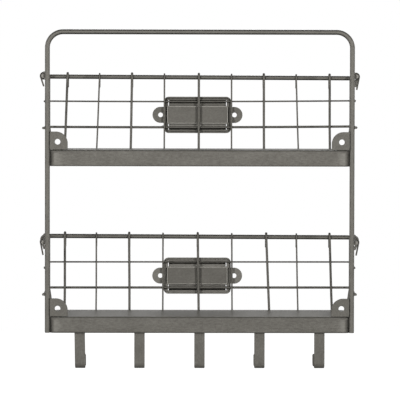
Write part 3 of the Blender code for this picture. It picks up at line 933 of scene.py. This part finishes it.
def ear_piece(basket, label, side):
    """Screw ear: a tab with one rounded corner, standing on the shelf against the leg."""
    sizes = bpy.context.scene.organizer_sheets
    node = f"{basket}_{label}_screw_ear"
    low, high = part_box(node)
    near, far = (high[0], low[0]) if side > 0 else (-low[0], -high[0])
    middle = Vector((far + sizes.ear_corner, high[2] - sizes.ear_corner))
    outline = [Vector((near, low[2])), Vector((near, high[2]))]
    outline += [middle + polar(a, sizes.ear_corner) for a in arc(90, 180, EAR_STEPS)]
    outline.append(Vector((far, low[2])))
    screw = (hoop_middle()[0] - sizes.screw_inset, shelf_places(basket)[3] + sizes.screw_rise)
    hole = mirrored(round_hole(screw, sizes.screw_hole), side)
    shape, shade = new_shape()
    # The ear's cut edges get painted shade
    add_sheet(shape, mirrored(outline, side), [hole], sizes.ear_sheet, sizes.edge, shade)
    finish_piece(stand_in(shape, node), "strip_paint", node)


def softened(rows, reach):
    """Profile rows with every corner rounded within a distance, and short of its runs' middles."""
    soft = []
    for before, here, after in zip(rows[-1:] + rows[:-1], rows, rows[1:] + rows[:1]):
        ends = []
        for other in (before, after):
            gap = math.hypot((here[0] - other[0]) / 2, here[3] - other[3])
            step = min(reach / gap, 0.45)
            ends.append([a + (b - a) * step for a, b in zip(here, other)])
        for t in (0.0, 0.25, 0.5, 0.75, 1.0):
            bend = zip(ends[0], here, ends[1])
            soft.append([(1 - t) ** 2 * a + 2 * t * (1 - t) * b + t**2 * c for a, b, c in bend])
    return soft


def label_ear(side):
    """Shape of a label holder's half-round fixing ear."""
    sizes = bpy.context.scene.organizer_labels
    root = sizes.width / 2 - sizes.flange / 2
    middle = sizes.width / 2 + sizes.hole_reach
    radius = sizes.ear_height / 2
    round_side = [
        Vector((middle + radius * math.cos(a), radius * math.sin(a))) for a in arc(-90, 90, LABEL_EAR_STEPS)
    ]
    outline = [Vector((root, -radius)), *round_side, Vector((root, radius))]
    hole = round_hole((side * middle, 0.0), sizes.ear_hole)
    shape, shade = new_shape()
    # The label ear's cut edges get painted shade
    add_sheet(shape, mirrored(outline, side), [hole], sizes.sheet, LABEL_EDGE, shade)
    return shape


def slot_end(side, end, depth):
    """Shape that opens a label frame behind one end of a card slot."""
    sizes = bpy.context.scene.organizer_labels
    across = sizes.width / 2 - sizes.slot_side
    inner = across - sizes.slot_relief
    low = sizes.height / 2 - sizes.panel_end
    high = low + sizes.slot_height
    corners = ((inner, low), (across, low), (across, high), (inner, high))
    shape, _ = new_shape()
    add_sheet(shape, [Vector((side * x, end * z)) for x, z in corners], [], depth, SLOT_EDGE)
    return shape


def label_frame_piece(basket):
    """Label holder's pressed frame with its two fixing ears."""
    sizes = bpy.context.scene.organizer_labels
    spot = label_spot(basket)

    def outer(inset, y):
        return (sizes.width - 2 * inset, sizes.height - 2 * inset, sizes.corner - inset, y)

    def window(margin, y):
        wide = sizes.width - 2 * sizes.window_side + 2 * margin
        tall = sizes.height - 2 * sizes.window_end + 2 * margin
        return (wide, tall, sizes.sheet + margin, y)

    sheet = sizes.sheet
    wall = sizes.flange + sizes.slope
    card = 2 * sheet
    crown = card + sizes.crown
    profile = [
        outer(0.0, 0.0),
        outer(sizes.flange, 0.0),
        outer(wall, card),
        outer(wall + sizes.slope, crown - sheet),
        window(sizes.crown, crown - sheet),
        window(0.0, card),
        window(0.0, card + sheet),
        window(sizes.crown - sheet / 2, crown),
        outer(wall + sizes.slope - sheet / 2, crown),
        outer(wall - sheet, card + sheet / 2),
        outer(sizes.flange - sheet / 2, sheet),
        outer(0.0, sheet),
    ]
    shape, shade = new_shape()
    rows = []
    highlight_from = sizes.window_end - sizes.height / 2 - CROWN_MARGIN
    for wide, tall, radius, y in softened(profile, LABEL_SOFT):
        outline = rounded_rectangle(wide, tall, max(radius, LABEL_SOFT))
        rows.append([shape.verts.new(spot + Vector((x, y, z))) for x, z in outline])
        # Painted lightening on the lower half of the window's rim, against its shadow, and on the whole lower
        # holder
        for vert, (_, z) in zip(rows[-1], outline):
            vert[shade] = CROWN_LIGHTENING if highlight_from < z < 0 else LABEL_LIGHTENING[basket]
    join_rows(shape, rows, closed=True)
    node = basket + "_label_frame"
    piece = stand_in(shape, node)
    for _, side in SIDES:
        shape = label_ear(side)
        bmesh.ops.translate(shape, verts=shape.verts, vec=spot + OUT * sizes.ear_step)
        carve(piece, shape, "UNION")
        for end in (-1, 1):
            shape = slot_end(side, end, crown + 2 * sheet)
            bmesh.ops.translate(shape, verts=shape.verts, vec=spot - OUT * sheet)
            carve(piece, shape, "DIFFERENCE")
    finish_piece(piece, "label_paint", node)


def label_plate_piece(basket):
    """Label holder's back plate: a beaded panel between two long card slots."""
    sizes = bpy.context.scene.organizer_labels
    spot = label_spot(basket)
    room = sizes.flange + sizes.slope / 2 + bpy.context.scene.organizer_rods.seam
    width = sizes.width - 2 * room
    panel_width = sizes.width - 2 * sizes.panel_side
    panel_height = sizes.height - 2 * sizes.panel_end
    notch = Vector((panel_width / 2, sizes.height / 2 - sizes.notch_end))
    outline = rounded_rectangle(width, sizes.height - 2 * room, sizes.corner - room)
    half = len(outline) // 2
    notched = ((width / 2, -notch.y), (notch.x, -notch.y), (notch.x, notch.y), (width / 2, notch.y))
    notched = [Vector(point) for point in notched]
    outline = outline[:half] + [-point for point in notched] + outline[half:] + notched
    slots = []
    for end in (-1, 1):
        middle = Vector((0.0, end * (panel_height + sizes.slot_height) / 2))
        slot = (sizes.width - 2 * sizes.slot_side, sizes.slot_height, sizes.sheet, SLOT_STEPS)
        slots.append([point + middle for point in rounded_rectangle(*slot)])
    shape, shade = new_shape()
    add_sheet(shape, outline, slots, sizes.sheet, LABEL_EDGE)
    # Painted shade at the side notches, where the frame's inside lies in shadow; elsewhere the lower holder's
    # painted lightening
    near = 2 * LABEL_EDGE
    for vert in shape.verts:
        at_notch = abs(abs(vert.co.x) - notch.x) < near and abs(vert.co.z) < notch.y + near
        vert[shade] = 1.0 if at_notch else LABEL_LIGHTENING[basket]
    bmesh.ops.translate(shape, verts=shape.verts, vec=spot)
    node = basket + "_label_plate"
    piece = stand_in(shape, node)

    shape, _ = new_shape()
    radius = sizes.bead / 2
    rows = []
    for step in range(BEAD_SIDES):
        turn = math.tau * step / BEAD_SIDES
        inset = radius * (1 - math.cos(turn))
        border = radius + 2 * inset
        outline = rounded_rectangle(panel_width - border, panel_height - border, 2 * sizes.bead - inset)
        y = sizes.sheet / 4 + radius * math.sin(turn)
        rows.append([shape.verts.new(spot + Vector((x, y, z))) for x, z in outline])
    join_rows(shape, rows, closed=True)
    carve(piece, shape, "UNION")
    # The bead's side to the wall gets a painted highlight
    for vert, paint in zip(piece.data.vertices, piece.data.attributes["shade_paint"].data):
        if vert.co.y < spot.y - ROUNDING:
            paint.value = BEAD_HIGHLIGHT
    finish_piece(piece, "label_paint", node)


def hook_stations(sizes, low, high):
    """Places along a hook's strip from its top to its tip, each with a half width and a half thickness."""
    half, wide = sizes.sheet / 2, sizes.width / 2
    y, bottom = low[1] + half, low[2] + half
    plan = ((y, high[2]), (y, bottom), (y + sizes.reach, bottom), (y + sizes.reach, low[2] + sizes.rise))
    path = bent_path([Vector((0.0, *corner)) for corner in plan], (sizes.bend, sizes.bend), HOOK_STEPS)

    def waist(spot):
        """How much narrower the strip is on each side at a height over its bend."""
        bent = max(0.0, 1 - (spot.z - bottom) / HOOK_WAIST)
        return HOOK_WAIST * (1 - math.sqrt(max(0.0, 1 - bent**2)))

    stations = []
    for a in arc(0, 90, END_STEPS):
        spot = path[0] - UP * sizes.edge * (1 - math.cos(a))
        stations.append((spot, wide - sizes.edge * (1 - math.sin(a)), half))
    stations += [(spot, wide - waist(spot), half) for spot in path[1:-1]]
    for a in arc(0, 90, CORNER_STEPS):
        spot = path[-1] - UP * sizes.corner * (1 - math.sin(a))
        thin = half - sizes.edge * max(0.0, (a / math.radians(90) - 0.6) / 0.4) ** 2
        stations.append((spot, wide - sizes.corner * (1 - math.cos(a)), thin))
    return stations


def hook_piece(index):
    """Coat hook: a strip bent into a J, with rounded edges and tip corners."""
    sizes = bpy.context.scene.organizer_hooks
    node = f"hook_{index}"
    points = node_points(node)
    low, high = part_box(node)
    highest = [point.x for point in points if point.z > high[2] - HOOK_END]
    back = [point for point in points if point.y < low[1] + HOOK_END]
    lowest = [point.x for point in back if point.z < low[2] + HOOK_FOOT]
    top_x = (min(highest) + max(highest)) / 2
    lean = (min(lowest) + max(lowest)) / 2 - top_x
    y = low[1] + sizes.sheet / 2
    fall = high[2] - (low[2] + sizes.sheet / 2)
    stations = hook_stations(sizes, low, high)
    spots = [spot for spot, _, _ in stations]
    shape, shade = new_shape()
    rows = []
    for place, (spot, wide, thin) in enumerate(stations):
        before = spots[max(place - 1, 0)]
        after = spots[min(place + 1, len(spots) - 1)]
        run = (after - before).normalized()
        across = Vector((0.0, run.z, -run.y))
        out = spot.y - y
        sway = lean * min((high[2] - spot.z) / fall, 1.0) + sizes.turns[index - 1] * out / sizes.reach
        # Painted shade towards the tip, which lies in the shank's shadow, and along the strip's edges
        tip_shade = HOOK_TIP_SHADE * min(max(out / sizes.reach - HOOK_TIP_FROM, 0.0) * HOOK_TIP_RISE, 1.0)
        row = []
        for x, depth in rounded_rectangle(2 * wide, 2 * thin, min(sizes.edge, thin * 0.95), STRIP_STEPS):
            vert = shape.verts.new(spot + Vector((top_x + sway + x, 0.0, 0.0)) + across * depth)
            vert[shade] = max(tip_shade, (1.0 - (wide - abs(x)) / (sizes.edge * 0.5)) * HOOK_EDGE_SHADE)
            row.append(vert)
        rows.append(row)
    join_rows(shape, rows)
    finish_piece(stand_in(shape, node), "strip_paint", node)


# Welds


def wire_welds(basket, wire):
    """Weld beads of one upright wire, each as a place and half sizes."""
    _, rim_spot, foot_spot, outward, diameter = wire
    rods = bpy.context.scene.organizer_rods
    _, _, underside, top = shelf_places(basket)
    inside = rods.rim_rod / 2 + rods.seam / 2
    wide = diameter / 2 + WELD_SPREAD
    welds = []

    def weld(spot, across, deep, tall):
        welds.append((spot, (across, deep, tall) if outward == OUT else (deep, across, tall)))

    for label, other in (("low", rods.thick_wire), ("high", rods.thin_wire)):
        z = long_height(basket, label)(rim_spot.x)
        spot = foot_spot.lerp(rim_spot, (z - top) / (rim_spot.z - top))
        if outward == OUT:
            spot.y = rim_places(basket)[1] - inside
        else:
            spot.x = outward.x * (rim_half(basket, spot.y) - inside)
        spot.z = z
        weld(spot, wide, CROSSING_DEPTH, other / 2 + WELD_SPREAD)
    for z in (underside + rods.wire_foot + FOOT_WELD_RISE, top - FOOT_WELD_DROP):
        spot = foot_spot + outward * FOOT_WELD_OUT
        spot.z = z
        weld(spot, wide + FOOT_SPREAD, *FOOT_WELD)
    weld(rim_spot - outward * inside, wide, *WRAP_WELD)
    return welds


def leg_welds(basket, side):
    """Weld beads at one leg, in groups of like unevenness, each as a place and half sizes."""
    rods = bpy.context.scene.organizer_rods
    _, _, underside, top = shelf_places(basket)
    start, _, height = rim_places(basket)
    leg = hoop_middle()[0]
    beside = rods.frame_rod / 2 + 0.0002
    low_z, high_z = (long_height(basket, label)(side * (leg + beside)) for label in ("low", "high"))
    low_weld = (0.0010, 0.0022, rods.thick_wire / 2 + WELD_SPREAD)
    high_weld = (0.0016, 0.0012, rods.thin_wire / 2 + 0.0004)
    corner_heights = (top - CORNER_WELD_INSET, (top + underside) / 2, underside + CORNER_WELD_INSET)
    # Each bead: how far out from the leg's middle, how far from the wall, how high, and its half sizes
    groups = (
        ((0.0022, start - 0.0004, height, RIM_WELD), (beside, 0.0032, low_z, low_weld)),
        ((0.0030, 0.0056, high_z, high_weld),),
        *(((-0.0036, 0.0052, z, CORNER_WELD),) for z in corner_heights),
        ((-0.0125, 0.0021, top, EAR_FOOT_WELD), (-0.0030, 0.0022, top + 0.0130, EAR_SIDE_WELD)),
    )
    return [[(Vector((side * (leg + x), y, z)), reach) for x, y, z, reach in group] for group in groups]


def basket_welds(basket):
    """Weld beads of one basket: at the crossings, at the feet and at the legs."""
    wires = list(front_wires(basket))
    for label, side in SIDES:
        wires += side_wires(basket, label, side)
    groups = [[weld] for wire in wires for weld in wire_welds(basket, wire)]
    for _, side in SIDES:
        groups += leg_welds(basket, side)
    shape, _ = new_shape()
    for seed, group in enumerate(groups, WELD_SEEDS[basket]):
        for spot, reach in group:
            add_bead(shape, spot, reach, seed)
    finish_piece(add_object(basket + "_basket_welds", mesh_from(shape, "welds")), "wire_paint")


def label_welds(basket):
    """Dabs that hold a label holder to the wires behind it."""
    low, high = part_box(basket + "_label_frame")
    z = shelf_places(basket)[3] + bpy.context.scene.organizer_rods.low_rise
    shape, _ = new_shape()
    for seed, x in enumerate((low[0] + LABEL_WELD_INSET, high[0] - LABEL_WELD_INSET), LABEL_SEED):
        add_bead(shape, Vector((x, low[1] - LABEL_WELD_OUT, z)), LABEL_WELD, seed)
    finish_piece(add_object(basket + "_label_welds", mesh_from(shape, "welds")), "label_paint")


# Stage


def seen_or_white(tree, dim, white):
    """Light for everything but the camera and reflections, which get white instead."""
    rays = [
        Socket.node(tree, "ShaderNodeLightPath", output=name)
        for name in ("Is Camera Ray", "Is Glossy Ray", "Is Transmission Ray")
    ]
    return Socket.node(tree, "ShaderNodeMixShader", None, {0: rays[0] | rays[1] | rays[2], 1: dim, 2: white})


def lay_floor(studio):
    """Pale floor below the organizer, which turns white for the camera and keeps the shadow."""
    z = (CAD_BOX[0][2] + CAD_BOX[1][2]) / 2 - studio.floor_drop
    mesh = bpy.data.meshes.new("studio_floor")
    corners = [(x * FLOOR_HALF, y * FLOOR_HALF, z) for x, y in ((-1, -1), (1, -1), (1, 1), (-1, 1))]
    mesh.from_pydata(corners, [], [(0, 1, 2, 3)])
    floor = add_object("studio_floor", mesh)
    material = bpy.data.materials.new("studio_floor")
    material.use_nodes = True
    tree = material.node_tree
    tree.nodes.remove(tree.nodes["Principled BSDF"])
    diffuse = Socket.node(tree, "ShaderNodeBsdfDiffuse", None, {"Color": (*studio.floor_colour, 1.0)})
    glow = Socket.node(tree, "ShaderNodeEmission", None, {"Strength": studio.floor_glow})
    both = Socket.node(tree, "ShaderNodeAddShader", None, {0: diffuse, 1: glow})
    seen_or_white(tree, diffuse, both).feeds(tree.nodes["Material Output"].inputs["Surface"])
    mesh.materials.append(material)


def light_surroundings(studio):
    """Even light from all round, seen as white."""
    world = bpy.data.worlds.new("studio")
    bpy.context.scene.world = world
    world.use_nodes = True
    tree = world.node_tree
    dim = Socket.node(tree, "ShaderNodeBackground", None, {"Color": WHITE, "Strength": studio.ambient})
    white = Socket.node(tree, "ShaderNodeBackground", None, {"Color": WHITE, "Strength": 1.0})
    seen_or_white(tree, dim, white).feeds(tree.nodes["World Output"].inputs["Surface"])


def add_lamp(name, kind, strength, towards):
    """Lamp that is turned so that it shines from a direction."""
    lamp = bpy.data.lights.new(name, kind)
    lamp.energy = strength
    holder = add_object(name, lamp)
    holder.rotation_euler = towards.to_track_quat("Z", "Y").to_euler()
    return holder


def hang_lamp(name, spot, watts, size):
    """Soft square lamp at a place, turned to the organizer's middle."""
    towards = Vector(spot) - (Vector(CAD_BOX[0]) + Vector(CAD_BOX[1])) / 2
    holder = add_lamp(name, "AREA", watts, towards)
    holder.data.size = size
    holder.location = spot
    holder.visible_camera = False


def far_lamp(name, azimuth, elevation, strength, softness):
    """Soft lamp far off, at an azimuth from the camera's side and a height over the horizon."""
    turn, rise = degrees(azimuth, elevation)
    towards = Vector((math.sin(turn) * math.cos(rise), -math.cos(turn) * math.cos(rise), math.sin(rise)))
    add_lamp(name, "SUN", strength, towards).data.angle = softness


def set_camera(studio):
    """Camera at the photograph's place."""
    lens = bpy.data.cameras.new("photo_camera")
    lens.lens = studio.lens
    lens.sensor_width = SENSOR_WIDTH
    lens.clip_end = SIGHT
    lens.shift_x, lens.shift_y = studio.shift
    camera = add_object("photo_camera", lens)
    camera.location = (CAMERA_X, -studio.distance, studio.height)
    camera.rotation_euler = (math.radians(90) - studio.tilt, -studio.roll, -studio.turn)
    bpy.context.scene.camera = camera


# Operators


class ORGANIZER_OT_frame_hoop(bpy.types.Operator):
    """Bend the frame's rod into its upside-down U"""

    bl_idname = "organizer.frame_hoop"
    bl_label = "Frame Hoop"

    def execute(self, context):
        rods = context.scene.organizer_rods
        leg, top, foot = hoop_middle()
        y = rods.frame_rod / 2
        corners = [Vector((x, y, z)) for x, z in ((-leg, foot), (-leg, top), (leg, top), (leg, foot))]
        path = bent_path(corners, (rods.frame_bend, rods.frame_bend), HOOP_STEPS)
        bar_piece("frame_hoop", path, rods.frame_rod, "rod_paint")
        return {"FINISHED"}


class ORGANIZER_OT_shelves(bpy.types.Operator):
    """Fold the two shelf pans"""

    bl_idname = "organizer.shelves"
    bl_label = "Shelves"

    def execute(self, context):
        for basket in BASKETS:
            pan_piece(basket)
        return {"FINISHED"}


class ORGANIZER_OT_screw_ears(bpy.types.Operator):
    """Cut the four screw ears"""

    bl_idname = "organizer.screw_ears"
    bl_label = "Screw Ears"

    def execute(self, context):
        for basket in BASKETS:
            for label, side in SIDES:
                ear_piece(basket, label, side)
        return {"FINISHED"}


class ORGANIZER_OT_rim_rods(bpy.types.Operator):
    """Bend the top edge of each basket"""

    bl_idname = "organizer.rim_rods"
    bl_label = "Rim Rods"

    def execute(self, context):
        rods = context.scene.organizer_rods
        for basket in BASKETS:
            start, reach, _ = rim_places(basket)
            back, front = rim_half(basket, start), rim_half(basket, reach)
            plan = [(-back, start), (-front, reach), (front, reach), (back, start)]
            corners = [rim_over(basket, x, y) for x, y in plan]
            path = bent_path(corners, (rods.rim_bend, rods.rim_bend), RIM_STEPS)
            # The rim's cut ends get a painted highlight
            bar_piece(basket + "_rim_rod", path, rods.rim_rod, "rod_paint", highlighted_ends=True)
        return {"FINISHED"}


class ORGANIZER_OT_front_wires(bpy.types.Operator):
    """Hook the nine front wires of each basket over its rim"""

    bl_idname = "organizer.front_wires"
    bl_label = "Front Wires"

    def execute(self, context):
        rods = context.scene.organizer_rods
        for basket in BASKETS:
            for wire in front_wires(basket):
                upright_piece(basket, wire, rods.front_tail, rods.front_lean)
        return {"FINISHED"}


class ORGANIZER_OT_side_wires(bpy.types.Operator):
    """Hook the side wires of each basket over its rim"""

    bl_idname = "organizer.side_wires"
    bl_label = "Side Wires"

    def execute(self, context):
        rods = context.scene.organizer_rods
        for basket in BASKETS:
            for label, side in SIDES:
                odd = (basket, label) == ("upper", "left")
                tails = rods.odd_tails if odd else rods.side_tails
                leans = rods.odd_leans if odd else rods.side_leans
                for wire, tail, lean in zip(side_wires(basket, label, side), tails, leans):
                    upright_piece(basket, wire, tail, lean)
        return {"FINISHED"}


class ORGANIZER_OT_long_wires(bpy.types.Operator):
    """Bend the long wires round each basket"""

    bl_idname = "organizer.long_wires"
    bl_label = "Long Wires"

    def execute(self, context):
        rods = context.scene.organizer_rods
        for basket in BASKETS:
            for label, diameter in (("low", rods.thick_wire), ("high", rods.thin_wire)):
                path = long_path(basket, label, diameter)
                bar_piece(f"{basket}_{label}_long_wire", path, diameter, "wire_paint")
        return {"FINISHED"}


class ORGANIZER_OT_label_holders(bpy.types.Operator):
    """Press the two label holders"""

    bl_idname = "organizer.label_holders"
    bl_label = "Label Holders"

    def execute(self, context):
        for basket in BASKETS:
            label_frame_piece(basket)
            label_plate_piece(basket)
        return {"FINISHED"}


class ORGANIZER_OT_hooks(bpy.types.Operator):
    """Bend the five coat hooks"""

    bl_idname = "organizer.hooks"
    bl_label = "Hooks"

    def execute(self, context):
        for index in HOOKS:
            hook_piece(index)
        return {"FINISHED"}


class ORGANIZER_OT_welds(bpy.types.Operator):
    """Set the weld beads at the crossings, feet, legs and label holders"""

    bl_idname = "organizer.welds"
    bl_label = "Welds"

    def execute(self, context):
        for basket in BASKETS:
            basket_welds(basket)
            label_welds(basket)
        return {"FINISHED"}


class ORGANIZER_OT_stage(bpy.types.Operator):
    """Set up the floor, the lamps, the surroundings and the camera"""

    bl_idname = "organizer.stage"
    bl_label = "Stage"

    def execute(self, context):
        studio = context.scene.organizer_studio
        context.scene.view_settings.view_transform = "Standard"
        lay_floor(studio)
        light_surroundings(studio)
        for spot in KEY_LAMPS:
            hang_lamp("key_lamp", spot, studio.key, studio.key_size)
        hang_lamp("top_lamp", TOP_LAMP, studio.top, TOP_LAMP_SIZE * studio.key_size)
        for azimuth, rise, part in FILL_LAMPS:
            far_lamp("fill_lamp", azimuth, rise, part * studio.fill, studio.fill_size)
        set_camera(studio)
        return {"FINISHED"}


class ORGANIZER_PT_panel(bpy.types.Panel):
    """Steps and settings of the wall organizer"""

    bl_idname = "ORGANIZER_PT_panel"
    bl_label = "Wall Organizer"
    bl_space_type = "VIEW_3D"
    bl_region_type = "UI"
    bl_category = "Organizer"

    def draw(self, context):
        for operator in OPERATORS:
            self.layout.operator(operator.bl_idname)
        for name in SETTINGS:
            box = self.layout.box()
            settings = getattr(context.scene, name)
            for key in settings.bl_rna.properties.keys():
                if key not in ("rna_type", "name"):
                    box.prop(settings, key)


OPERATORS = (
    ORGANIZER_OT_frame_hoop,
    ORGANIZER_OT_shelves,
    ORGANIZER_OT_screw_ears,
    ORGANIZER_OT_rim_rods,
    ORGANIZER_OT_front_wires,
    ORGANIZER_OT_side_wires,
    ORGANIZER_OT_long_wires,
    ORGANIZER_OT_label_holders,
    ORGANIZER_OT_hooks,
    ORGANIZER_OT_welds,
    ORGANIZER_OT_stage,
)
SETTINGS = {
    "organizer_rods": RodSizes,
    "organizer_sheets": SheetSizes,
    "organizer_labels": LabelSizes,
    "organizer_hooks": HookSizes,
    "organizer_paint": PaintLooks,
    "organizer_studio": StudioLooks,
}


def register():
    for group in (*SETTINGS.values(), *OPERATORS, ORGANIZER_PT_panel):
        bpy.utils.register_class(group)
    for name, group in SETTINGS.items():
        setattr(bpy.types.Scene, name, PointerProperty(type=group))


def unregister():
    for name in SETTINGS:
        delattr(bpy.types.Scene, name)
    for group in (ORGANIZER_PT_panel, *OPERATORS[::-1], *list(SETTINGS.values())[::-1]):
        bpy.utils.unregister_class(group)


def main():
    """Build every piece and the stage."""
    register()
    bpy.ops.organizer.frame_hoop()
    bpy.ops.organizer.shelves()
    bpy.ops.organizer.screw_ears()
    bpy.ops.organizer.rim_rods()
    bpy.ops.organizer.front_wires()
    bpy.ops.organizer.side_wires()
    bpy.ops.organizer.long_wires()
    bpy.ops.organizer.label_holders()
    bpy.ops.organizer.hooks()
    bpy.ops.organizer.welds()
    bpy.ops.organizer.stage()


if __name__ == "__main__":
    main()
